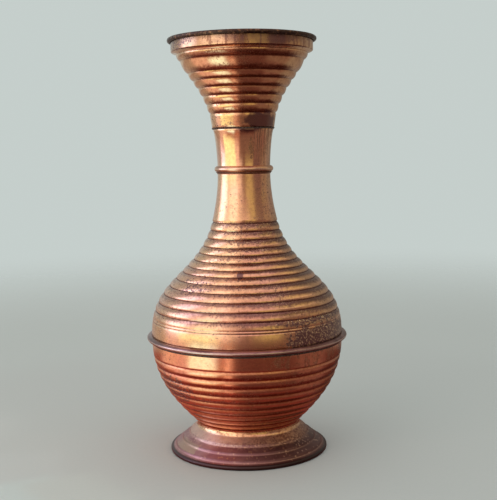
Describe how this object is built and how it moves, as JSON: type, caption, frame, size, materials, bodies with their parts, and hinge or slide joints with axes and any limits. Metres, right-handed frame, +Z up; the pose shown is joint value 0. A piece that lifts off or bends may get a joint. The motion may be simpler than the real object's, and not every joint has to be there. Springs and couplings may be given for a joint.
{
  "type": "brass vase",
  "caption": "Tall spun vase with a ribbed round body on a stepped foot, a narrow ringed neck and a ribbed, flared mouth with rolled rim.",
  "frame": {"origin": "centre of the foot's underside, on the surface that the vase stands on", "axes": "+Z up along the turning axis; X and Y are equal, because the vase is round"},
  "size_m": [0.1494, 0.1494, 0.305],
  "materials": {
    "body_brass": "aged, lacquer worn, golden brown",
    "bowl_brass": "aged, rosy brown",
    "ring_brass": "dark purple-brown patina",
    "foot_patina": "matt purple-brown patina",
    "wire_iron": "drawn iron wire, dull",
    "solder": "soft solder, stained dark"
  },
  "bodies": {
    "root": {"foot": "foot_patina", "foot_wire": "wire_iron", "foot_solder": "solder", "lower_bowl": "bowl_brass", "belly_ring": "ring_brass", "belly_solder": "solder", "shoulder": "body_brass", "neck_ring": "ring_brass", "neck_solder": "solder", "neck_tube": "body_brass", "collar_solder": "solder", "mouth": "body_brass", "rim_wire": "wire_iron"}
  },
  "joints": []
}
